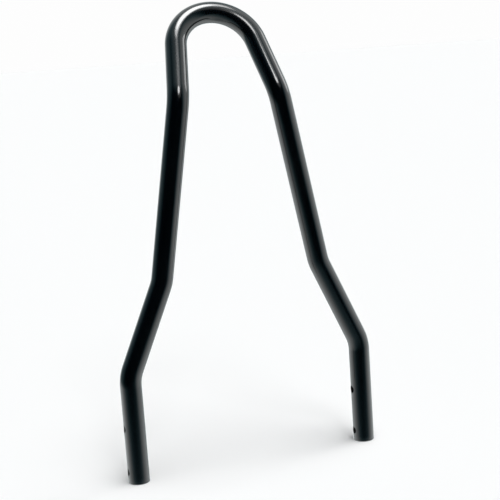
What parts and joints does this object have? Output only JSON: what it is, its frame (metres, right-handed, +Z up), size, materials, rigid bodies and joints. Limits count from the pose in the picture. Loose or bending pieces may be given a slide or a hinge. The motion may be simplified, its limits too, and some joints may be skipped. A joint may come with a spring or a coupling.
{
  "type": "sissy bar",
  "caption": "Sissy bar for a motorbike: a round tube bent into a tall loop that leans rearward, on splayed legs with straight feet cross-drilled for bolts.",
  "frame": {"origin": "bottom centre of the bar's own box: on the plane of the cut ends, midway between the feet, and midway between the front of the legs and the back of the loop", "axes": "+Z up along the straight feet, +X to the right as seen from the rider's side, +Y to the rear, the way the loop leans"},
  "size_m": [0.3144, 0.0804, 0.5464],
  "materials": {
    "black_coat": "gloss black powder coat"
  },
  "bodies": {
    "root": {"sissy_bar": "black_coat"}
  },
  "joints": []
}
